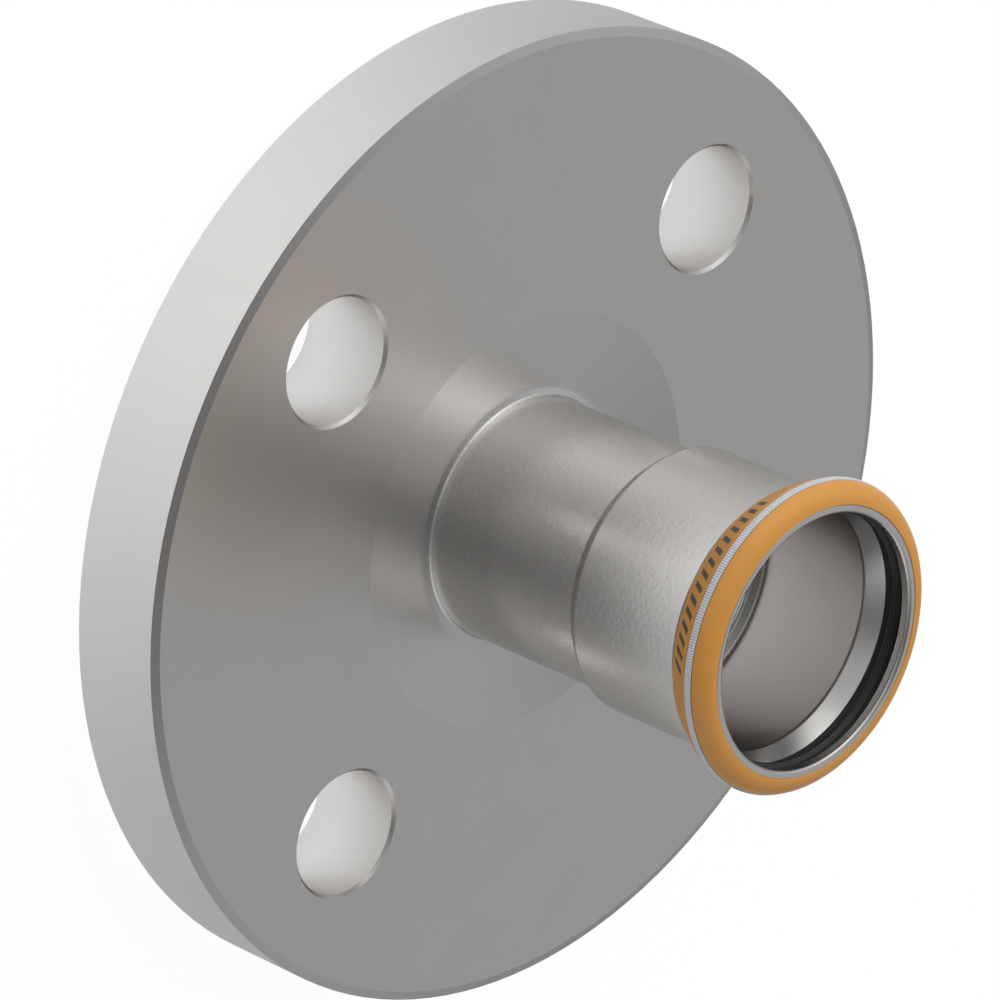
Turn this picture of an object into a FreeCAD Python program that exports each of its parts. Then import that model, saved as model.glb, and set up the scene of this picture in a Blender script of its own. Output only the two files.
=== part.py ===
import FreeCAD, Part
import math
import os

# Transition flange DN 32, PN 10/16, with a press socket for a 35 mm pipe. Sizes in millimetres.
# The axis is Z: the mating face lies on Z = 0 and the socket's mouth opens upwards.

# Pipe and formed tube
pipe_diameter = 35.0
tube_wall = 1.5
socket_clearance = 0.15
socket_wall = 1.45

# Flange disc
flange_diameter = 140.0
rim_thickness = 14.9
raised_face_diameter = 78.0
raised_face_height = 2.0
rim_bevel_width = 1.3
rim_bevel_height = 0.45
raised_face_bevel = 0.3

# Bolt holes
bolt_circle_diameter = 100.0
bolt_hole_diameter = 18.0
bolt_count = 4
first_bolt_angle = 45.0
bolt_hole_chamfer = 0.45
bolt_hole_deburr = 0.1

# Turned recess round the tube, and the seat that the tube stands in
recess_diameter = 60.0
recess_depth = 1.5
seat_depth = 9.0
seat_clearance = 0.1

# Weld between tube and disc
weld_leg = 1.3
weld_root = 0.7
weld_throat = 0.4
weld_toe_margin = 0.3

# Tube's way from the disc to the mouth
tube_length = 25.9
step_length = 1.7
step_rounding = 0.8
stop_offset = 0.8
stop_fall = 0.5
stop_rounding = 0.4
insertion_depth = 26.15

# Bead that holds the seal
bead_height = 2.7
bead_rounding = 2.55
flank_angle = 29.4
foot_rounding = 0.6
inner_foot_rounding = 1.0

# Turned-in lip at the mouth
lip_clearance = 0.45
lip_rise = 0.3
lip_margin = 0.02
lip_thickness = 1.35
lip_bevel = 0.7
lip_rounding = 0.5
lip_edge_rounding = 0.15

# Seal ring: radial places are counted from the socket's bore, heights from the bead's crest
seal_clearance = 0.05
seal_crest_inset = 0.1
seal_crest_height = -0.1
seal_crest_rounding = 0.45
seal_rear_lip = (0.85, -1.95)
seal_rear_groove = (1.2, -1.15)
seal_front_groove = (0.85, 0.6)
seal_front_lip = (0.55, 0.95)
seal_foot_radius = 1.45
seal_lip_rounding = 0.25
seal_groove_rounding = 0.3

# Press indicator sleeve and the ribbed band in its crest
sleeve_thickness = 0.35
sleeve_start = 0.8
sleeve_edge_rounding = 0.12
band_width = 1.05
band_offset = 0.2
band_depth = 0.2
band_rise = 0.04
band_gap = 0.15

# Worked-out radii
pipe_radius = pipe_diameter / 2
bore_radius = pipe_radius - tube_wall
socket_radius = pipe_radius + socket_clearance
socket_outer_radius = socket_radius + socket_wall
crest_radius = socket_outer_radius + bead_height
lip_radius = socket_radius + lip_clearance
lip_outer_radius = crest_radius - bead_rounding - lip_margin
seat_radius = pipe_radius + seat_clearance
weld_radius = pipe_radius + weld_leg

# Worked-out heights
disc_top = raised_face_height + rim_thickness
recess_floor = disc_top - recess_depth
seat_floor = recess_floor - seat_depth
step_bottom = disc_top + tube_length
step_top = step_bottom + step_length
stop_height = step_top + stop_offset
mouth_height = stop_height + insertion_depth
bead_front = mouth_height - lip_rise
crest_height = bead_front - bead_rounding


def rounded_face(corners):
    """Face in the X-Z plane with straight sides between rounded corners (radius, height, rounding)."""
    count = len(corners)
    points = [FreeCAD.Vector(radius, 0, height) for radius, height, _ in corners]
    backs = [(points[i - 1] - points[i]).normalize() for i in range(count)]
    aheads = [(points[(i + 1) % count] - points[i]).normalize() for i in range(count)]
    halves = [backs[i].getAngle(aheads[i]) / 2 for i in range(count)]
    tangents = [corners[i][2] / math.tan(halves[i]) for i in range(count)]

    # A rounding shrinks where the side beside it is too short for it
    shares = []
    for i in range(count):
        side = points[i].distanceToPoint(points[(i + 1) % count])
        shares.append(side / max(side, tangents[i] + tangents[(i + 1) % count]))

    edges = []
    for i in range(count):
        share = min(shares[i - 1], shares[i])
        rounding = corners[i][2] * share
        start = points[i] + backs[i] * (tangents[i] * share)
        end = points[i] + aheads[i] * (tangents[i] * share)
        if rounding > 0:
            inward = (backs[i] + aheads[i]).normalize()
            middle = points[i] + inward * (rounding / math.sin(halves[i]) - rounding)
            edges.append(Part.Arc(start, middle, end).toShape())
        following = (i + 1) % count
        next_share = min(shares[i], shares[following])
        next_start = points[following] + backs[following] * (tangents[following] * next_share)
        if end.distanceToPoint(next_start) > 1e-6:
            edges.append(Part.LineSegment(end, next_start).toShape())
    return Part.Face(Part.Wire(edges))


def turned(corners):
    """Solid of revolution about the Z axis."""
    axis = FreeCAD.Vector(0, 0, 1)
    return rounded_face(corners).revolve(FreeCAD.Vector(0, 0, 0), axis, 360)


def bead_radius_at(height, offset):
    """Radius of the bead's straight flank at a height, on the surface that lies offset outside the steel."""
    slope = math.radians(flank_angle)
    rounding = bead_rounding + offset
    tangent_radius = crest_radius - bead_rounding + rounding * math.cos(slope)
    tangent_height = crest_height - rounding * math.sin(slope)
    return tangent_radius + (height - tangent_height) * math.tan(slope)


def bead_height_at(radius, offset):
    """Height at which that flank reaches a radius."""
    slope = math.radians(flank_angle)
    return bead_front + (radius - bead_radius_at(bead_front, offset)) / math.tan(slope)


def bead_corner(offset):
    """Corner between the flank and the bead's front, with the rounding that forms the crest."""
    front = bead_front + offset
    return (bead_radius_at(front, offset), front, bead_rounding + offset)


def make_flange():
    """Drilled disc with its raised face, turned recess and stepped bore."""
    raised_radius = raised_face_diameter / 2
    outer_radius = flange_diameter / 2
    disc = turned([
        (bore_radius, 0, 0),
        (raised_radius - raised_face_bevel, 0, 0),
        (raised_radius, raised_face_bevel, 0),
        (raised_radius, raised_face_height, 0),
        (outer_radius - rim_bevel_width, raised_face_height, 0),
        (outer_radius, raised_face_height + rim_bevel_height, 0),
        (outer_radius, disc_top - rim_bevel_height, 0),
        (outer_radius - rim_bevel_width, disc_top, 0),
        (recess_diameter / 2, disc_top, 0),
        (weld_radius + weld_toe_margin, recess_floor, 0),
        (seat_radius + weld_root, recess_floor, 0),
        (seat_radius, recess_floor - weld_root, 0),
        (seat_radius, seat_floor, 0),
        (bore_radius, seat_floor, 0),
    ])

    radius = bolt_hole_diameter / 2
    drill = turned([
        (0, raised_face_height - bolt_hole_deburr, 0),
        (radius + 2 * bolt_hole_deburr, raised_face_height - bolt_hole_deburr, 0),
        (radius, raised_face_height + bolt_hole_deburr, 0),
        (radius, disc_top - bolt_hole_chamfer, 0),
        (radius + 2 * bolt_hole_chamfer, disc_top + bolt_hole_chamfer, 0),
        (0, disc_top + bolt_hole_chamfer, 0),
    ])
    for index in range(bolt_count):
        angle = math.radians(first_bolt_angle + index * 360 / bolt_count)
        place = FreeCAD.Vector(math.cos(angle), math.sin(angle), 0) * (bolt_circle_diameter / 2)
        disc = disc.cut(drill.translated(place))
    return disc


def make_press_socket():
    """Formed tube: plain end, widened socket with the pipe's stop, seal bead and turned-in lip."""
    return turned([
        (bore_radius, seat_floor, 0),
        (pipe_radius, seat_floor, 0),
        (pipe_radius, step_bottom, step_rounding),
        (socket_outer_radius, step_top, step_rounding),
        (socket_outer_radius, bead_height_at(socket_outer_radius, 0), foot_rounding),
        bead_corner(0),
        (lip_outer_radius, bead_front, 0),
        (lip_outer_radius, mouth_height, lip_edge_rounding),
        (lip_radius, mouth_height, lip_rounding),
        (lip_radius, mouth_height - lip_thickness, 0),
        (lip_radius + lip_bevel, bead_front - socket_wall, 0),
        bead_corner(-socket_wall),
        (socket_radius, bead_height_at(socket_radius, -socket_wall), inner_foot_rounding),
        (socket_radius, stop_height, stop_rounding),
        (bore_radius, stop_height - stop_fall, stop_rounding),
    ])


def make_weld_seam():
    """Fillet weld in the corner between tube and recess, with its root in the seat's chamfer."""
    return turned([
        (pipe_radius, recess_floor - weld_root, 0),
        (seat_radius, recess_floor - weld_root, 0),
        (seat_radius + weld_root, recess_floor, 0),
        (weld_radius, recess_floor, 0),
        (pipe_radius + weld_throat, recess_floor + weld_throat, weld_leg),
        (pipe_radius, recess_floor + weld_leg, 0),
    ])


def make_seal_ring():
    """Rubber ring whose back fills the bead and whose ridges face the pipe."""
    offset = -socket_wall - seal_clearance
    foot_radius = socket_radius + seal_foot_radius
    corners = [(foot_radius, bead_height_at(foot_radius, offset), 0), bead_corner(offset)]
    ridges = [
        (seal_front_lip, seal_lip_rounding),
        (seal_front_groove, seal_groove_rounding),
        ((-seal_crest_inset, seal_crest_height), seal_crest_rounding),
        (seal_rear_groove, seal_groove_rounding),
        (seal_rear_lip, seal_lip_rounding),
    ]
    for (inset, rise), rounding in ridges:
        corners.append((socket_radius + inset, crest_height + rise, rounding))
    return turned(corners)


def band_ring(inner, outer, margin):
    """Ring over the bead's crest between two offsets outside the steel, at the band's heights and a margin."""
    half = band_width / 2 + margin
    middle = crest_height + band_offset
    rear = crest_height - bead_rounding
    shell = turned([
        (bead_radius_at(rear, inner), rear, 0),
        (bead_radius_at(rear, outer), rear, 0),
        bead_corner(outer),
        (crest_radius - bead_rounding, bead_front + outer, 0),
        (crest_radius - bead_rounding, bead_front + inner, 0),
        bead_corner(inner),
    ])
    slab = Part.makeCylinder(crest_radius + 2 * bead_rounding, 2 * half, FreeCAD.Vector(0, 0, middle - half))
    return shell.common(slab)


def make_press_indicator():
    """Thin plastic sleeve that hugs the bead, with a groove for the ribbed band."""
    rear = bead_height_at(socket_outer_radius, 0) + sleeve_start
    sleeve = turned([
        (bead_radius_at(rear, 0), rear, 0),
        (bead_radius_at(rear, sleeve_thickness), rear, sleeve_edge_rounding),
        bead_corner(sleeve_thickness),
        (lip_outer_radius, bead_front + sleeve_thickness, sleeve_edge_rounding),
        (lip_outer_radius, bead_front, 0),
        bead_corner(0),
    ])
    return sleeve.cut(band_ring(sleeve_thickness - band_depth, 2 * sleeve_thickness, band_gap))


def make_ribbed_band():
    """Narrow band let into the sleeve's crest, with a thin gap on either side."""
    return band_ring(sleeve_thickness - band_depth, sleeve_thickness + band_rise, 0)


nodes = {
    "flange": make_flange(),
    "press_socket": make_press_socket(),
    "weld_seam": make_weld_seam(),
    "seal_ring": make_seal_ring(),
    "press_indicator": make_press_indicator(),
    "ribbed_band": make_ribbed_band(),
}

os.makedirs("parts", exist_ok=True)
for name, shape in nodes.items():
    shape.exportStep("parts/" + name + ".step")
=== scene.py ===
import math

import bpy
from mathutils import Matrix, Vector


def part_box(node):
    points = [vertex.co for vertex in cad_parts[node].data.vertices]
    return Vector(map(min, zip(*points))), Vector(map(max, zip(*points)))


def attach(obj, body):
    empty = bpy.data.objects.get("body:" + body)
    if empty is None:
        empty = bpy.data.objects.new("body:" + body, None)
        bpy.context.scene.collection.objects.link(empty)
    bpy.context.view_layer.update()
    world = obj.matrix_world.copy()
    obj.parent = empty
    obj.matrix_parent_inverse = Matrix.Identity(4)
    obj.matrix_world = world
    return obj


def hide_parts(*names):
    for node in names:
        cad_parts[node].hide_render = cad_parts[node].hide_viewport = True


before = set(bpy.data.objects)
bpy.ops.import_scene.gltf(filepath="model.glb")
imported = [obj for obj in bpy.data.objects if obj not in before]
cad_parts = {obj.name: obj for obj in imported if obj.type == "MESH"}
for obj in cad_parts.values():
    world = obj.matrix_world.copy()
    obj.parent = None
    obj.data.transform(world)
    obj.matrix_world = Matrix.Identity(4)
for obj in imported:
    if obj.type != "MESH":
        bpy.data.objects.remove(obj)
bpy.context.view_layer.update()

MM = 0.001
WHITE = (1, 1, 1, 1)

# Places and sizes read off the frame
DISC_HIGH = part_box("flange")[1]
DISC_RADIUS = DISC_HIGH[0]
DISC_FRONT = DISC_HIGH[2]
BAND_LOW, BAND_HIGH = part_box("ribbed_band")
BAND_MIDDLE = (BAND_LOW[2] + BAND_HIGH[2]) / 2
BAND_WIDTH = BAND_HIGH[2] - BAND_LOW[2]
SLEEVE_LOW, SLEEVE_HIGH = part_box("press_indicator")
SLEEVE_REAR = SLEEVE_LOW[2]
SLEEVE_RADIUS = SLEEVE_HIGH[0]
WELD_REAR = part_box("weld_seam")[0][2]

# Sizes of the solids that their boxes don't show; each bolt hole lies HOLE_PLACE along both X and Y,
# and HOLE_REACH takes in a hole with its chamfer
WATERWAY_RADIUS = 16 * MM
TUBE_RADIUS = 17.5 * MM
BOLT_CIRCLE_RADIUS = 50 * MM
HOLE_PLACE = BOLT_CIRCLE_RADIUS / math.sqrt(2)
HOLE_REACH = 10 * MM
RECESS_DEPTH = 1.5 * MM
RECESS_FLOOR = DISC_FRONT - RECESS_DEPTH

# The camera of the photograph: its place and aim are measured from the centre of the disc's front face
CAMERA_PLACE = Vector((-0.75047, 0.50985, 0.75695 + DISC_FRONT))
CAMERA_AIM = Vector((-0.00530, 0.00482, DISC_FRONT))
CAMERA_ROLL = math.radians(0.589)
CAMERA_LENS = 309.88
CAMERA_NEAR = 0.05
CAMERA_FAR = 20
SENSOR_WIDTH = 36.0
PHOTO_UP = Vector((0, 1, 0))

# The bright sides of the studio: azimuth and elevation in degrees, tightness and strength
STUDIO_LEVEL = 0.05
STUDIO_SIDES = {
    "window": (80, 15, 8.0, 1.0),
    "window_edge": (50, 15, 8.0, 0.25),
    "skylight": (60, 48, 8.0, 0.42),
    "side_wall": (10, 30, 8.0, 0.34),
    "front_wall": (138, 30, 8.0, 0.43),
    "card": (236, 8, 5.0, 0.64),
    "low_wall": (268, 30, 10.0, 0.19),
    "back_wall": (320, 33, 8.0, 0.325),
}
KEY_AZIMUTH = 65
KEY_ELEVATION = 50
KEY_DISTANCE = 1.5
KEY_SIZE = 0.9
KEY_POWER = 8.0

# The floor's paint, and the share and strength of the plain white that the camera sees over it
FLOOR_SIZE = 6
FLOOR_GAP = 0.05 * MM
FLOOR_COLOUR = 0.92
FLOOR_WHITE_SHARE = 0.93
FLOOR_WHITE = 1.03

# Painted reflection: the floor as the steel mirrors it is a glow of its own, brightest on the camera's side,
# with its own levels under the disc, painted pools of light a little aslant by the bolt holes, and under the
# waterway
FLOOR_LEVEL = 0.5
FLOOR_SIDE = 0.5
FLOOR_SIDE_AZIMUTH = 130
FLOOR_SIDE_TIGHTNESS = 2.5
FLOOR_UNDER_DISC = 0.7
FLOOR_UNDER_HOLE = 1.0
FLOOR_UNDER_WATERWAY = 0.8
HOLE_GLOW_RADIUS = 9.5 * MM
HOLE_GLOW_DRIFT = 2.5 * MM
HOLE_GLOW_AZIMUTH = 26

# Steel finishes: a shade is how far clouds darken and lighten the colour; clouds, grain, mottle and lines
# are given by the size of their features; the serration lies on the mating face, below SERRATION_TOP
ROUGHNESS_SWING = 0.05
FINE_DETAIL = 3
SOFT_DETAIL = 2
FLANGE_STEEL = (0.74, 0.725, 0.71)
FLANGE_SHADE = 0.02
FLANGE_CLOUD = 9 * MM
FLANGE_ROUGHNESS = 0.31
FLANGE_GRAIN = 0.35 * MM
FLANGE_GRAIN_DEPTH = 0.004 * MM
FLANGE_LINES = 0.25 * MM
FLANGE_LINE_DEPTH = 0.0015 * MM
SERRATION_FLANK = 0.4 * MM
SERRATION_DEPTH = 0.048 * MM
SERRATION_TOP = 0.05 * MM
TUBE_STEEL = (0.74, 0.722, 0.705)
TUBE_SHADE = 0.015
TUBE_CLOUD = 5 * MM
TUBE_ROUGHNESS = 0.23
TUBE_INNER_ROUGHNESS = 0.25
TUBE_MOTTLE = 0.75 * MM
TUBE_MOTTLE_DEPTH = 0.02 * MM
TUBE_MOTTLE_ROUGHNESS = 0.08
TUBE_INNER_MOTTLE_SHARE = 0.03
TUBE_LINES = 0.3 * MM
TUBE_LINE_DEPTH = 0.001 * MM
BEAD_STEEL = (0.76, 0.75, 0.74)
BEAD_SHADE = 0.03
BEAD_ROUGHNESS = 0.24
BEAD_GRAIN = 0.5 * MM
BEAD_GRAIN_DEPTH = 0.006 * MM
BEAD_LINES = 0.7 * MM
BEAD_LINE_DEPTH = 0.008 * MM

# Moulded finishes: colour, roughness, shade, grain and its depth
MOULDED_CLOUD = 4 * MM
MOULDED_FINISHES = {
    "rubber_black": ((0.02, 0.022, 0.021), 0.38, 0.1, 0.3 * MM, 0.004 * MM),
    "plastic_orange": ((0.79, 0.36, 0.072), 0.36, 0.02, 0.25 * MM, 0.002 * MM),
    "plastic_band": ((0.58, 0.59, 0.62), 0.45, 0.03, 0.25 * MM, 0.003 * MM),
    "plastic_ribs": ((0.86, 0.88, 0.92), 0.45, 0.03, 0.25 * MM, 0.003 * MM),
    "bar_ink": ((0.1, 0.1, 0.095), 0.45, 0.1, 0.25 * MM, 0.002 * MM),
}

# The weld as it is laid: a flat skirt from its toe up to its knee, and from there a hollow curve up the tube
# with fine ripples along it
WELD_WIDTH = 1.1 * MM
WELD_HEIGHT = 0.75 * MM
WELD_KNEE_WIDTH = 0.36 * MM
WELD_KNEE_HEIGHT = 0.22 * MM
WELD_PULL_WIDTH = 0.12 * MM
WELD_ROOT_WIDTH = 0.8 * MM
WELD_ROOT_DEPTH = 0.05 * MM
WELD_CURVE_STEPS = 12
WELD_ROUND_STEPS = 360
WELD_RIPPLES = 90
WELD_RIPPLE_DEPTH = 0.006 * MM
SHARP_ANGLE = math.radians(40)

# The ribs of the band
RIB_COUNT = 360
RIB_PROUD = 0.08 * MM
RIB_SUNK = 0.03 * MM
RIB_FULLNESS = 0.58
RIB_LENGTH_SHARE = 0.94

# The rows of plain slanted bars on the sleeve's flank; a row's start and end are in degrees
BAR_GROUPS = 3
BARS_IN_GROUP = 15
BAR_ROW_START = 104
BAR_ROW_END = 174
BAR_WIDTH = 0.8 * MM
BAR_SLANT = 0.9 * MM
BAR_HEIGHT = 2.4 * MM
BAR_MIDDLE_FROM_REAR = 2.15 * MM
BAR_PROUD = 0.02 * MM
BAR_SUNK = 0.02 * MM

# What the nodes that lay ribs and bars are given, how finely a block bends, and where its rays start
WRAP_INPUTS = {
    "Count": "NodeSocketInt",
    "In Group": "NodeSocketInt",
    "First Angle": "NodeSocketFloat",
    "Step": "NodeSocketFloat",
    "Group Step": "NodeSocketFloat",
    "Width": "NodeSocketFloat",
    "Slant": "NodeSocketFloat",
    "Middle": "NodeSocketFloat",
    "Height": "NodeSocketFloat",
    "Sunk": "NodeSocketFloat",
    "Proud": "NodeSocketFloat",
}
WRAP_NUMBER = "bar_number"
WRAP_ROWS = 7
WRAP_REACH = 30 * MM


def direction(azimuth, elevation):
    """Unit vector towards a side of the studio, from angles in degrees."""
    flat = math.cos(math.radians(elevation))
    return Vector((
        flat * math.cos(math.radians(azimuth)),
        flat * math.sin(math.radians(azimuth)),
        math.sin(math.radians(elevation)),
    ))


def link_or_set(tree, socket, value):
    """Feed a socket from another one, or set it to a plain value."""
    if isinstance(value, bpy.types.NodeSocket):
        tree.links.new(value, socket)
    else:
        socket.default_value = value


def calculate(tree, operation, *values):
    """Math node on numbers and sockets, as its output socket."""
    node = tree.nodes.new("ShaderNodeMath")
    node.operation = operation
    for socket, value in zip(node.inputs, values):
        link_or_set(tree, socket, value)
    return node.outputs[0]


def calculate_vector(tree, operation, *values, output="Vector"):
    """Vector math node on vectors and sockets, as one of its output sockets."""
    node = tree.nodes.new("ShaderNodeVectorMath")
    node.operation = operation
    for socket, value in zip(node.inputs, values):
        link_or_set(tree, socket, value)
    return node.outputs[output]


def scaled(tree, vector, factor):
    """Vector made longer or shorter by a factor."""
    node = tree.nodes.new("ShaderNodeVectorMath")
    node.operation = "SCALE"
    tree.links.new(vector, node.inputs[0])
    link_or_set(tree, node.inputs["Scale"], factor)
    return node.outputs[0]


def combine(tree, x, y, z):
    """Vector from three numbers or sockets."""
    node = tree.nodes.new("ShaderNodeCombineXYZ")
    for socket, value in zip(node.inputs, (x, y, z)):
        link_or_set(tree, socket, value)
    return node.outputs[0]


def separate(tree, vector):
    """Output sockets X, Y and Z of a vector."""
    node = tree.nodes.new("ShaderNodeSeparateXYZ")
    tree.links.new(vector, node.inputs[0])
    return node.outputs


def object_place(tree):
    """Place on the object, measured in its own frame."""
    return tree.nodes.new("ShaderNodeTexCoord").outputs["Object"]


def object_normal(tree):
    """Direction that the object's surface faces, in its own frame."""
    return tree.nodes.new("ShaderNodeTexCoord").outputs["Normal"]


def flattened(tree, place):
    """Vector from the waterway's axis straight out to a place."""
    return calculate_vector(tree, "MULTIPLY", place, (1, 1, 0))


def flat_radius(tree, place):
    """Distance of a place from the waterway's axis."""
    return calculate_vector(tree, "LENGTH", flattened(tree, place), output="Value")


def flat_angle(tree, place):
    """Angle of a place round the waterway's axis."""
    parts = separate(tree, place)
    return calculate(tree, "ARCTAN2", parts["Y"], parts["X"])


def make_camera():
    """Camera at the photograph's angle, with the photograph's top towards +Y."""
    back = (CAMERA_PLACE - CAMERA_AIM).normalized()
    up = (PHOTO_UP - PHOTO_UP.dot(back) * back).normalized()
    up.rotate(Matrix.Rotation(-CAMERA_ROLL, 3, back))
    right = up.cross(back)
    data = bpy.data.cameras.new("camera")
    data.sensor_width = SENSOR_WIDTH
    data.lens = CAMERA_LENS
    data.clip_start = CAMERA_NEAR
    data.clip_end = CAMERA_FAR
    camera = bpy.data.objects.new("camera", data)
    rotation = Matrix((right, up, back)).transposed()
    camera.matrix_world = Matrix.Translation(CAMERA_PLACE) @ rotation.to_4x4()
    bpy.context.scene.collection.objects.link(camera)
    bpy.context.scene.camera = camera


def studio_side(tree, towards, azimuth, elevation, tightness, strength):
    """Glow of one soft side of the studio, which fades evenly away from its middle."""
    middle = direction(azimuth, elevation)
    nearness = calculate_vector(tree, "DOT_PRODUCT", towards, middle, output="Value")
    away = calculate(tree, "SUBTRACT", nearness, 1)
    fade = calculate(tree, "EXPONENT", calculate(tree, "MULTIPLY", away, tightness))
    return calculate(tree, "MULTIPLY", fade, strength)


def make_world():
    """Studio with a low even level and a few soft bright sides, dark overhead."""
    world = bpy.data.worlds.new("studio")
    bpy.context.scene.world = world
    world.use_nodes = True
    tree = world.node_tree
    towards = tree.nodes.new("ShaderNodeTexCoord").outputs["Generated"]
    glow = STUDIO_LEVEL
    for side in STUDIO_SIDES.values():
        glow = calculate(tree, "ADD", glow, studio_side(tree, towards, *side))
    background = tree.nodes["Background"]
    background.inputs["Color"].default_value = WHITE
    tree.links.new(glow, background.inputs["Strength"])


def make_key_lamp():
    """Large soft lamp above the photograph's top right, which the steel doesn't mirror as a spot."""
    data = bpy.data.lights.new("key", "AREA")
    data.shape = "DISK"
    data.size = KEY_SIZE
    data.energy = KEY_POWER
    lamp = bpy.data.objects.new("key", data)
    towards = direction(KEY_AZIMUTH, KEY_ELEVATION)
    turned = towards.to_track_quat("Z", "Y").to_matrix().to_4x4()
    lamp.matrix_world = Matrix.Translation(KEY_DISTANCE * towards) @ turned
    lamp.visible_glossy = False
    bpy.context.scene.collection.objects.link(lamp)


def new_material(name):
    """Node material, as (material, its tree, its Principled BSDF)."""
    material = bpy.data.materials.new(name)
    material.use_nodes = True
    tree = material.node_tree
    return material, tree, tree.nodes["Principled BSDF"]


def open_floor_glow(tree, place):
    """Painted brightness of the open floor's glow, highest on the camera's side."""
    turn = calculate(tree, "SUBTRACT", flat_angle(tree, place), math.radians(FLOOR_SIDE_AZIMUTH))
    away = calculate(tree, "SUBTRACT", calculate(tree, "COSINE", turn), 1)
    side = calculate(tree, "EXPONENT", calculate(tree, "MULTIPLY", away, FLOOR_SIDE_TIGHTNESS))
    return calculate(tree, "MULTIPLY_ADD", side, FLOOR_SIDE, FLOOR_LEVEL)


def under_disc_glow(tree, place):
    """Painted brightness of the floor's glow under the disc, a painted pool of light a little beside the
    middle of each bolt hole.
    """
    aslant = calculate_vector(tree, "SUBTRACT", place, HOLE_GLOW_DRIFT * direction(HOLE_GLOW_AZIMUTH, 0))
    folded = calculate_vector(tree, "ABSOLUTE", aslant)
    offset = calculate_vector(tree, "DISTANCE", folded, (HOLE_PLACE, HOLE_PLACE, 0), output="Value")
    share = calculate(tree, "POWER", calculate(tree, "DIVIDE", offset, HOLE_GLOW_RADIUS), 2)
    fade = calculate(tree, "EXPONENT", calculate(tree, "MULTIPLY", share, -1))
    return calculate(tree, "MULTIPLY_ADD", fade, FLOOR_UNDER_HOLE - FLOOR_UNDER_DISC, FLOOR_UNDER_DISC)


def floor_glow(tree):
    """Painted glow of the floor, which only glossy rays see."""
    place = object_place(tree)
    radius = flat_radius(tree, place)
    glow = open_floor_glow(tree, place)
    covers = (
        (DISC_RADIUS, under_disc_glow(tree, place)),
        (WATERWAY_RADIUS, FLOOR_UNDER_WATERWAY),
    )
    for reach, level in covers:
        covered = calculate(tree, "LESS_THAN", radius, reach)
        kept = calculate(tree, "MULTIPLY", glow, calculate(tree, "SUBTRACT", 1, covered))
        glow = calculate(tree, "ADD", kept, calculate(tree, "MULTIPLY", covered, level))
    return glow


def mix_shaders(tree, share, first, second):
    """Blend of two shaders, which is all the second one where the share is 1."""
    mix = tree.nodes.new("ShaderNodeMixShader")
    for socket, source in zip(mix.inputs, (share, first, second)):
        tree.links.new(source, socket)
    return mix.outputs[0]


def floor_material():
    """White that keeps the object's shadow: nearly plain to the camera, and to glossy rays a painted glow,
    brighter in places.
    """
    material, tree, shader = new_material("floor_white")
    nodes, links = tree.nodes, tree.links
    nodes.remove(shader)
    paint = nodes.new("ShaderNodeBsdfDiffuse")
    paint.inputs["Color"].default_value = (FLOOR_COLOUR, FLOOR_COLOUR, FLOOR_COLOUR, 1)
    white = nodes.new("ShaderNodeEmission")
    white.inputs["Strength"].default_value = FLOOR_WHITE
    painted_reflection = nodes.new("ShaderNodeEmission")
    links.new(floor_glow(tree), painted_reflection.inputs["Strength"])
    path = nodes.new("ShaderNodeLightPath").outputs
    whiteness = calculate(tree, "MULTIPLY", path["Is Camera Ray"], FLOOR_WHITE_SHARE)
    seen = mix_shaders(tree, whiteness, paint.outputs[0], white.outputs[0])
    # Painted reflection: glossy rays see the painted glow in place of the lit floor
    surface = mix_shaders(tree, path["Is Glossy Ray"], seen, painted_reflection.outputs[0])
    links.new(surface, nodes["Material Output"].inputs["Surface"])
    return material


def make_floor():
    """Wide white floor just under the part."""
    bpy.ops.mesh.primitive_plane_add(size=FLOOR_SIZE, location=(0, 0, -FLOOR_GAP))
    floor = bpy.context.object
    floor.name = "floor"
    floor.data.materials.append(floor_material())


def grain(tree, place, size, detail):
    """Even three-dimensional grain from 0 to 1, with features of about the given size in metres."""
    noise = tree.nodes.new("ShaderNodeTexNoise")
    noise.inputs["Scale"].default_value = 1 / size
    noise.inputs["Detail"].default_value = detail
    tree.links.new(place, noise.inputs["Vector"])
    return noise.outputs["Fac"]


def irregular_lines(tree, distance, pitch):
    """Irregular fine lines across one distance, as a tool leaves them."""
    noise = tree.nodes.new("ShaderNodeTexNoise")
    noise.noise_dimensions = "1D"
    noise.inputs["Scale"].default_value = 1 / pitch
    noise.inputs["Detail"].default_value = SOFT_DETAIL
    tree.links.new(distance, noise.inputs["W"])
    return noise.outputs["Fac"]


def outward_share(tree, place):
    """1 where a surface faces away from the waterway's axis, 0 where it faces the axis or along it."""
    outward = calculate_vector(tree, "NORMALIZE", flattened(tree, place))
    facing = calculate_vector(tree, "DOT_PRODUCT", outward, object_normal(tree), output="Value")
    return calculate(tree, "MAXIMUM", facing, 0)


def nearest_hole(tree, flat):
    """Centre of the bolt hole round a place on the disc, or the waterway's axis outside the holes."""
    parts = separate(tree, flat)
    signs = [calculate(tree, "SIGN", parts[axis]) for axis in "XY"]
    centre = combine(tree, *[calculate(tree, "MULTIPLY", sign, HOLE_PLACE) for sign in signs], 0.0)
    offset = calculate_vector(tree, "DISTANCE", flat, centre, output="Value")
    return scaled(tree, centre, calculate(tree, "LESS_THAN", offset, HOLE_REACH))


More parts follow.
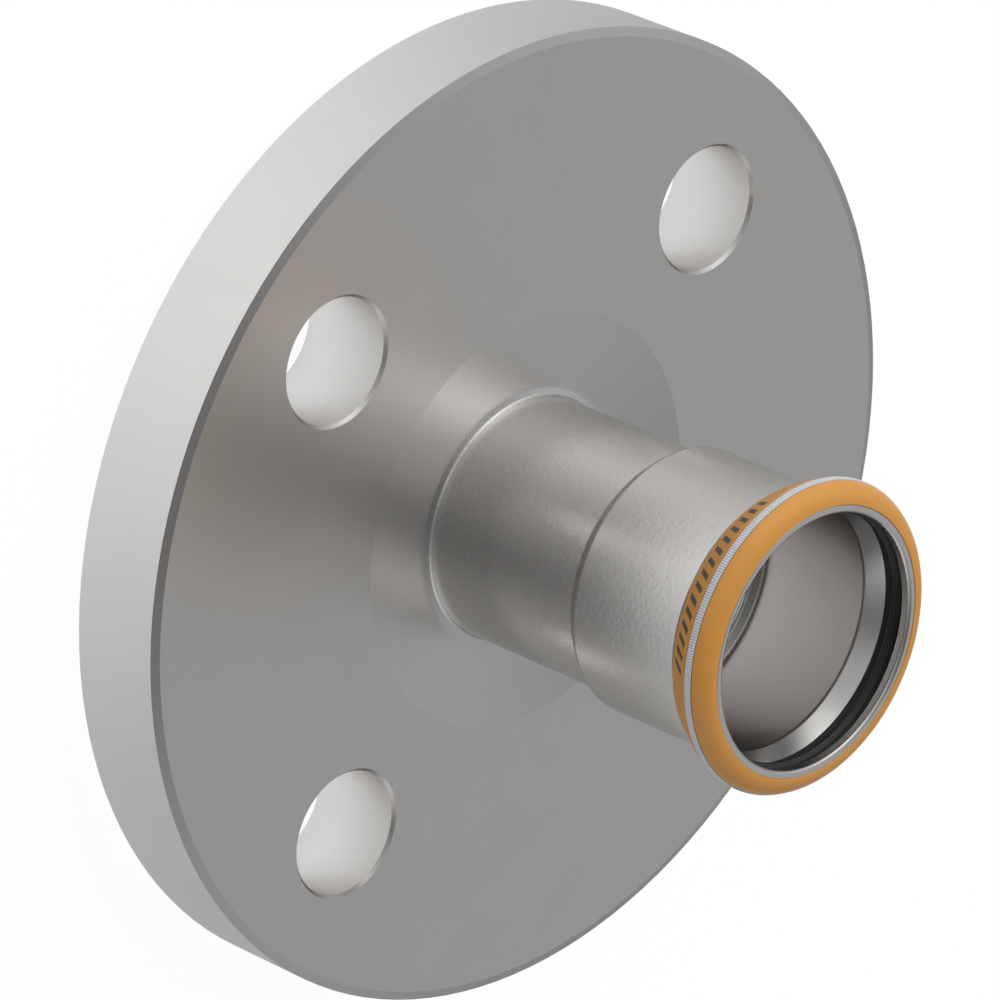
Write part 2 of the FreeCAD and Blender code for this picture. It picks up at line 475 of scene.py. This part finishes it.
def round_normal(tree, place, holes=False):
    """Normal that points exactly towards or away from the turning axis, free of the mesh's facets."""
    normal = object_normal(tree)
    upward = separate(tree, normal)["Z"]
    across = flattened(tree, place)
    if holes:
        across = calculate_vector(tree, "SUBTRACT", across, nearest_hole(tree, across))
    radial = calculate_vector(tree, "NORMALIZE", across)
    facing = calculate_vector(tree, "DOT_PRODUCT", normal, radial, output="Value")
    rest = calculate(tree, "SUBTRACT", 1, calculate(tree, "MULTIPLY", upward, upward))
    share = calculate(tree, "SQRT", calculate(tree, "MAXIMUM", rest, 0))
    around = scaled(tree, radial, calculate(tree, "MULTIPLY", calculate(tree, "SIGN", facing), share))
    whole = calculate_vector(tree, "ADD", around, combine(tree, 0.0, 0.0, upward))
    turned = tree.nodes.new("ShaderNodeVectorTransform")
    turned.vector_type = "NORMAL"
    turned.convert_from = "OBJECT"
    turned.convert_to = "WORLD"
    tree.links.new(whole, turned.inputs[0])
    return turned.outputs[0]


def roughen(tree, shader, pattern, middle):
    """Roughness that a pattern from 0 to 1 moves evenly round its middle."""
    roughness = calculate(tree, "MULTIPLY_ADD", pattern, 2 * ROUGHNESS_SWING, middle - ROUGHNESS_SWING)
    tree.links.new(roughness, shader.inputs["Roughness"])


def tint(tree, shader, pattern, colour, shade):
    """Base colour that a pattern makes a little darker and lighter."""
    mix = tree.nodes.new("ShaderNodeMix")
    mix.data_type = "RGBA"
    mix.inputs["A"].default_value = (*[c * (1 - shade) for c in colour], 1)
    mix.inputs["B"].default_value = (*[min(1, c * (1 + shade)) for c in colour], 1)
    tree.links.new(pattern, mix.inputs["Factor"])
    tree.links.new(mix.outputs["Result"], shader.inputs["Base Color"])


def bump(tree, shader, height, depth, under=None):
    """Relief of a given depth in metres, laid over an earlier one if there is one."""
    relief = tree.nodes.new("ShaderNodeBump")
    relief.inputs["Distance"].default_value = depth
    relief.inputs["Strength"].default_value = 1
    tree.links.new(height, relief.inputs["Height"])
    if under:
        tree.links.new(under, relief.inputs["Normal"])
    tree.links.new(relief.outputs["Normal"], shader.inputs["Normal"])
    return relief.outputs["Normal"]


def face_serration(tree, place, radius):
    """Fine ring grooves from 0 to 1 on the mating face, and 0 elsewhere."""
    groove = calculate(tree, "PINGPONG", radius, SERRATION_FLANK)
    at_back = calculate(tree, "LESS_THAN", separate(tree, place)["Z"], SERRATION_TOP)
    return calculate(tree, "DIVIDE", calculate(tree, "MULTIPLY", groove, at_back), SERRATION_FLANK)


def flange_material():
    """Turned and blasted steel, with the fine serration of a gasket face at the back."""
    material, tree, shader = new_material("flange_steel_turned")
    shader.inputs["Metallic"].default_value = 1
    place = object_place(tree)
    radius = flat_radius(tree, place)
    fine = grain(tree, place, FLANGE_GRAIN, FINE_DETAIL)
    lines = irregular_lines(tree, radius, FLANGE_LINES)
    tint(tree, shader, grain(tree, place, FLANGE_CLOUD, SOFT_DETAIL), FLANGE_STEEL, FLANGE_SHADE)
    roughen(tree, shader, fine, FLANGE_ROUGHNESS)
    satin = bump(tree, shader, fine, FLANGE_GRAIN_DEPTH, under=round_normal(tree, place, holes=True))
    turned = bump(tree, shader, lines, FLANGE_LINE_DEPTH, under=satin)
    bump(tree, shader, face_serration(tree, place, radius), SERRATION_DEPTH, under=turned)
    return material


def tube_material():
    """Drawn steel tube, mottled outside by its pickling and evenly satin inside."""
    material, tree, shader = new_material("tube_steel_pickled")
    shader.inputs["Metallic"].default_value = 1
    place = object_place(tree)
    tint(tree, shader, grain(tree, place, TUBE_CLOUD, SOFT_DETAIL), TUBE_STEEL, TUBE_SHADE)
    facing = outward_share(tree, place)
    share = calculate(tree, "MULTIPLY_ADD", facing, 1 - TUBE_INNER_MOTTLE_SHARE, TUBE_INNER_MOTTLE_SHARE)
    mottle = calculate(tree, "MULTIPLY", grain(tree, place, TUBE_MOTTLE, SOFT_DETAIL), share)
    outer_change = TUBE_ROUGHNESS - TUBE_INNER_ROUGHNESS
    smooth = calculate(tree, "MULTIPLY_ADD", share, outer_change, TUBE_INNER_ROUGHNESS)
    roughness = calculate(tree, "MULTIPLY_ADD", mottle, TUBE_MOTTLE_ROUGHNESS, smooth)
    tree.links.new(roughness, shader.inputs["Roughness"])
    mottled = bump(tree, shader, mottle, TUBE_MOTTLE_DEPTH, under=round_normal(tree, place))
    lines = irregular_lines(tree, separate(tree, place)["Z"], TUBE_LINES)
    bump(tree, shader, lines, TUBE_LINE_DEPTH, under=mottled)
    return material


def bead_material():
    """Bright smooth weld bead with faint ripples round it."""
    material, tree, shader = new_material("weld_steel_smooth")
    shader.inputs["Metallic"].default_value = 1
    place = object_place(tree)
    fine = grain(tree, place, BEAD_GRAIN, FINE_DETAIL)
    along = calculate(tree, "MULTIPLY", flat_angle(tree, place), flat_radius(tree, place))
    tint(tree, shader, fine, BEAD_STEEL, BEAD_SHADE)
    roughen(tree, shader, fine, BEAD_ROUGHNESS)
    smooth = bump(tree, shader, fine, BEAD_GRAIN_DEPTH)
    bump(tree, shader, irregular_lines(tree, along, BEAD_LINES), BEAD_LINE_DEPTH, under=smooth)
    return material


def moulded_material(name, turned=True):
    """Moulded plastic or rubber with a fine satin grain, on a turned piece or on small straight ones."""
    colour, roughness, shade, grain_size, depth = MOULDED_FINISHES[name]
    material, tree, shader = new_material(name)
    place = object_place(tree)
    fine = grain(tree, place, grain_size, FINE_DETAIL)
    tint(tree, shader, grain(tree, place, MOULDED_CLOUD, SOFT_DETAIL), colour, shade)
    roughen(tree, shader, fine, roughness)
    bump(tree, shader, fine, depth, under=round_normal(tree, place) if turned else None)
    return material


def dress(node, material):
    """Give a CAD node its material."""
    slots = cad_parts[node].data.materials
    slots.clear()
    slots.append(material)


def dress_solids(bead_finish):
    """Materials of the CAD nodes."""
    dress("flange", flange_material())
    dress("press_socket", tube_material())
    dress("weld_seam", bead_finish)
    dress("seal_ring", moulded_material("rubber_black"))
    dress("press_indicator", moulded_material("plastic_orange"))
    dress("ribbed_band", moulded_material("plastic_band"))


def weld_profile():
    """Closed section of the weld as (radius, height): its root, its toe, and the curve up the tube."""
    inner = TUBE_RADIUS
    toe = Vector((inner + WELD_WIDTH, RECESS_FLOOR))
    knee = Vector((inner + WELD_KNEE_WIDTH, RECESS_FLOOR + WELD_KNEE_HEIGHT))
    top = Vector((inner, RECESS_FLOOR + WELD_HEIGHT))
    skirt_slope = (knee.y - toe.y) / (toe.x - knee.x)
    pull_height = knee.y + skirt_slope * (WELD_KNEE_WIDTH - WELD_PULL_WIDTH)
    pull = Vector((inner + WELD_PULL_WIDTH, pull_height))
    rear = Vector((inner, WELD_REAR))
    root = Vector((inner + WELD_ROOT_WIDTH, RECESS_FLOOR - WELD_ROOT_DEPTH))
    section = [rear, root, toe]
    for step in range(WELD_CURVE_STEPS + 1):
        share = step / WELD_CURVE_STEPS
        section.append(knee.lerp(pull, share).lerp(pull.lerp(top, share), share))
    return section


def weld_ring(section, turn):
    """Corners of the weld's section at one turn step, lifted a little by the ripples along its curve."""
    angle = 2 * math.pi * turn / WELD_ROUND_STEPS
    ripple = WELD_RIPPLE_DEPTH * math.cos(WELD_RIPPLES * angle)
    curve_start = len(section) - 1 - WELD_CURVE_STEPS
    corners = []
    for row, (radius, height) in enumerate(section):
        lift = ripple * math.sin(math.pi * max(0, row - curve_start) / WELD_CURVE_STEPS)
        out = radius + lift
        corners.append((out * math.cos(angle), out * math.sin(angle), height + lift))
    return corners


def weld_ring_faces(rows, turn):
    """Faces between the corners of one turn step and those of the next."""
    here = turn * rows
    there = (turn + 1) % WELD_ROUND_STEPS * rows
    faces = []
    for row in range(rows):
        above = (row + 1) % rows
        faces.append((here + row, there + row, there + above, here + above))
    return faces


def make_weld_bead(material):
    """Weld turned from its section, rippled a little along its length, in place of the plain solid."""
    section = weld_profile()
    corners = []
    faces = []
    for turn in range(WELD_ROUND_STEPS):
        corners += weld_ring(section, turn)
        faces += weld_ring_faces(len(section), turn)
    mesh = bpy.data.meshes.new("weld_bead")
    mesh.from_pydata(corners, [], faces)
    mesh.shade_smooth()
    mesh.set_sharp_from_angle(angle=SHARP_ANGLE)
    mesh.materials.append(material)
    bead = bpy.data.objects.new("weld_bead", mesh)
    bpy.context.scene.collection.objects.link(bead)
    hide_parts("weld_seam")
    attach(bead, "root")


def numbered_blocks(tree, given):
    """One unit block for each rib or bar, all centred on the origin and numbered by an attribute."""
    nodes, links = tree.nodes, tree.links
    line = nodes.new("GeometryNodeMeshLine")
    line.inputs["Offset"].default_value = (0, 0, 0)
    links.new(given["Count"], line.inputs["Count"])
    block = nodes.new("GeometryNodeMeshCube")
    block.inputs["Size"].default_value = (1, 1, 1)
    block.inputs["Vertices Y"].default_value = WRAP_ROWS
    copies = nodes.new("GeometryNodeInstanceOnPoints")
    links.new(line.outputs["Mesh"], copies.inputs["Points"])
    links.new(block.outputs["Mesh"], copies.inputs["Instance"])
    number = nodes.new("GeometryNodeStoreNamedAttribute")
    number.data_type = "INT"
    number.domain = "INSTANCE"
    number.inputs["Name"].default_value = WRAP_NUMBER
    links.new(nodes.new("GeometryNodeInputIndex").outputs[0], number.inputs["Value"])
    links.new(copies.outputs["Instances"], number.inputs["Geometry"])
    solid = nodes.new("GeometryNodeRealizeInstances")
    links.new(number.outputs["Geometry"], solid.inputs["Geometry"])
    return solid.outputs["Geometry"]


def block_number(tree):
    """Number of the rib or bar that a corner belongs to."""
    attribute = tree.nodes.new("GeometryNodeInputNamedAttribute")
    attribute.data_type = "INT"
    attribute.inputs["Name"].default_value = WRAP_NUMBER
    return attribute.outputs["Attribute"]


def wrapped_angle(tree, given, across, along):
    """Angle of a block's corner round the axis, from the block's number and the corner's place in it."""
    number = block_number(tree)
    group = calculate(tree, "FLOOR", calculate(tree, "DIVIDE", number, given["In Group"]))
    in_group = calculate(tree, "MODULO", number, given["In Group"])
    angle = given["First Angle"]
    for count, step in ((group, "Group Step"), (in_group, "Step"), (across, "Width"), (along, "Slant")):
        angle = calculate(tree, "MULTIPLY_ADD", count, given[step], angle)
    return angle


def hit_surface(tree, given, outward, height):
    """Place on the surface and its normal there, found by a ray from outside towards the axis."""
    nodes, links = tree.nodes, tree.links
    middle = combine(tree, 0.0, 0.0, height)
    start = calculate_vector(tree, "ADD", scaled(tree, outward, WRAP_REACH), middle)
    surface = nodes.new("GeometryNodeObjectInfo")
    links.new(given["Surface"], surface.inputs["Object"])
    ray = nodes.new("GeometryNodeRaycast")
    links.new(surface.outputs["Geometry"], ray.inputs["Target Geometry"])
    links.new(start, ray.inputs["Source Position"])
    links.new(scaled(tree, outward, -1.0), ray.inputs["Ray Direction"])
    ray.inputs["Ray Length"].default_value = WRAP_REACH
    return ray.outputs["Hit Position"], ray.outputs["Hit Normal"]


def wrapped_place(tree, given):
    """Where a block's corner goes: round the axis by its number, and sunk into the surface or proud of it."""
    position = tree.nodes.new("GeometryNodeInputPosition").outputs[0]
    across, along, out = separate(tree, position)
    angle = wrapped_angle(tree, given, across, along)
    height = calculate(tree, "MULTIPLY_ADD", along, given["Height"], given["Middle"])
    outward = combine(tree, calculate(tree, "COSINE", angle), calculate(tree, "SINE", angle), 0.0)
    hit, normal = hit_surface(tree, given, outward, height)
    thickness = calculate(tree, "ADD", given["Proud"], given["Sunk"])
    lift = calculate(tree, "MULTIPLY", calculate(tree, "ADD", out, 0.5), thickness)
    lift = calculate(tree, "SUBTRACT", lift, given["Sunk"])
    return calculate_vector(tree, "ADD", hit, scaled(tree, normal, lift))


def make_wrap_tree():
    """Geometry nodes that lay small bars round a turned surface, in even groups."""
    tree = bpy.data.node_groups.new("bars_round_a_surface", "GeometryNodeTree")
    face = tree.interface
    face.new_socket(name="Geometry", in_out="OUTPUT", socket_type="NodeSocketGeometry")
    face.new_socket(name="Surface", in_out="INPUT", socket_type="NodeSocketObject")
    face.new_socket(name="Material", in_out="INPUT", socket_type="NodeSocketMaterial")
    for name, kind in WRAP_INPUTS.items():
        face.new_socket(name=name, in_out="INPUT", socket_type=kind)
    nodes, links = tree.nodes, tree.links
    given = nodes.new("NodeGroupInput").outputs
    place = nodes.new("GeometryNodeSetPosition")
    links.new(numbered_blocks(tree, given), place.inputs["Geometry"])
    links.new(wrapped_place(tree, given), place.inputs["Position"])
    solid = nodes.new("GeometryNodeRealizeInstances")
    links.new(place.outputs["Geometry"], solid.inputs["Geometry"])
    finish = nodes.new("GeometryNodeSetMaterial")
    links.new(solid.outputs["Geometry"], finish.inputs["Geometry"])
    links.new(given["Material"], finish.inputs["Material"])
    links.new(finish.outputs["Geometry"], nodes.new("NodeGroupOutput").inputs["Geometry"])
    return tree


def wrap(name, tree, values):
    """Plain mesh object from the wrap tree with its inputs set."""
    maker = bpy.data.objects.new(name + "_maker", bpy.data.meshes.new(name + "_maker"))
    bpy.context.scene.collection.objects.link(maker)
    modifier = maker.modifiers.new("bars", "NODES")
    modifier.node_group = tree
    for item in tree.interface.items_tree:
        if item.in_out == "INPUT":
            modifier[item.identifier] = values[item.name]
    whole = maker.evaluated_get(bpy.context.evaluated_depsgraph_get())
    mesh = bpy.data.meshes.new_from_object(whole)
    mesh.name = name
    bpy.data.objects.remove(maker)
    piece = bpy.data.objects.new(name, mesh)
    bpy.context.scene.collection.objects.link(piece)
    return piece


def make_band_ribs(tree):
    """Close straight ribs across almost the whole width of the band."""
    pitch = 2 * math.pi / RIB_COUNT
    ribs = wrap("band_ribs", tree, {
        "Surface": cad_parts["ribbed_band"],
        "Material": moulded_material("plastic_ribs", turned=False),
        "Count": RIB_COUNT,
        "In Group": RIB_COUNT,
        "First Angle": 0.0,
        "Step": pitch,
        "Group Step": 0.0,
        "Width": pitch * RIB_FULLNESS,
        "Slant": 0.0,
        "Middle": BAND_MIDDLE,
        "Height": RIB_LENGTH_SHARE * BAND_WIDTH,
        "Sunk": RIB_SUNK,
        "Proud": RIB_PROUD,
    })
    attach(ribs, "root")


def make_sleeve_bars(tree):
    """Generic rows of slanted bars on the sleeve's flank, with no letters."""
    row = math.radians(BAR_ROW_END - BAR_ROW_START)
    bars = wrap("sleeve_bars", tree, {
        "Surface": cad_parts["press_indicator"],
        "Material": moulded_material("bar_ink", turned=False),
        "Count": BAR_GROUPS * BARS_IN_GROUP,
        "In Group": BARS_IN_GROUP,
        "First Angle": math.radians(BAR_ROW_START),
        "Step": row / (BARS_IN_GROUP - 1),
        "Group Step": 2 * math.pi / BAR_GROUPS,
        "Width": BAR_WIDTH / SLEEVE_RADIUS,
        "Slant": BAR_SLANT / SLEEVE_RADIUS,
        "Middle": SLEEVE_REAR + BAR_MIDDLE_FROM_REAR,
        "Height": BAR_HEIGHT,
        "Sunk": BAR_SUNK,
        "Proud": BAR_PROUD,
    })
    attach(bars, "root")


make_camera()
make_world()
make_key_lamp()
make_floor()
weld_finish = bead_material()
dress_solids(weld_finish)
make_weld_bead(weld_finish)
wrap_tree = make_wrap_tree()
make_band_ribs(wrap_tree)
make_sleeve_bars(wrap_tree)

bpy.context.scene.view_settings.view_transform = "Standard"
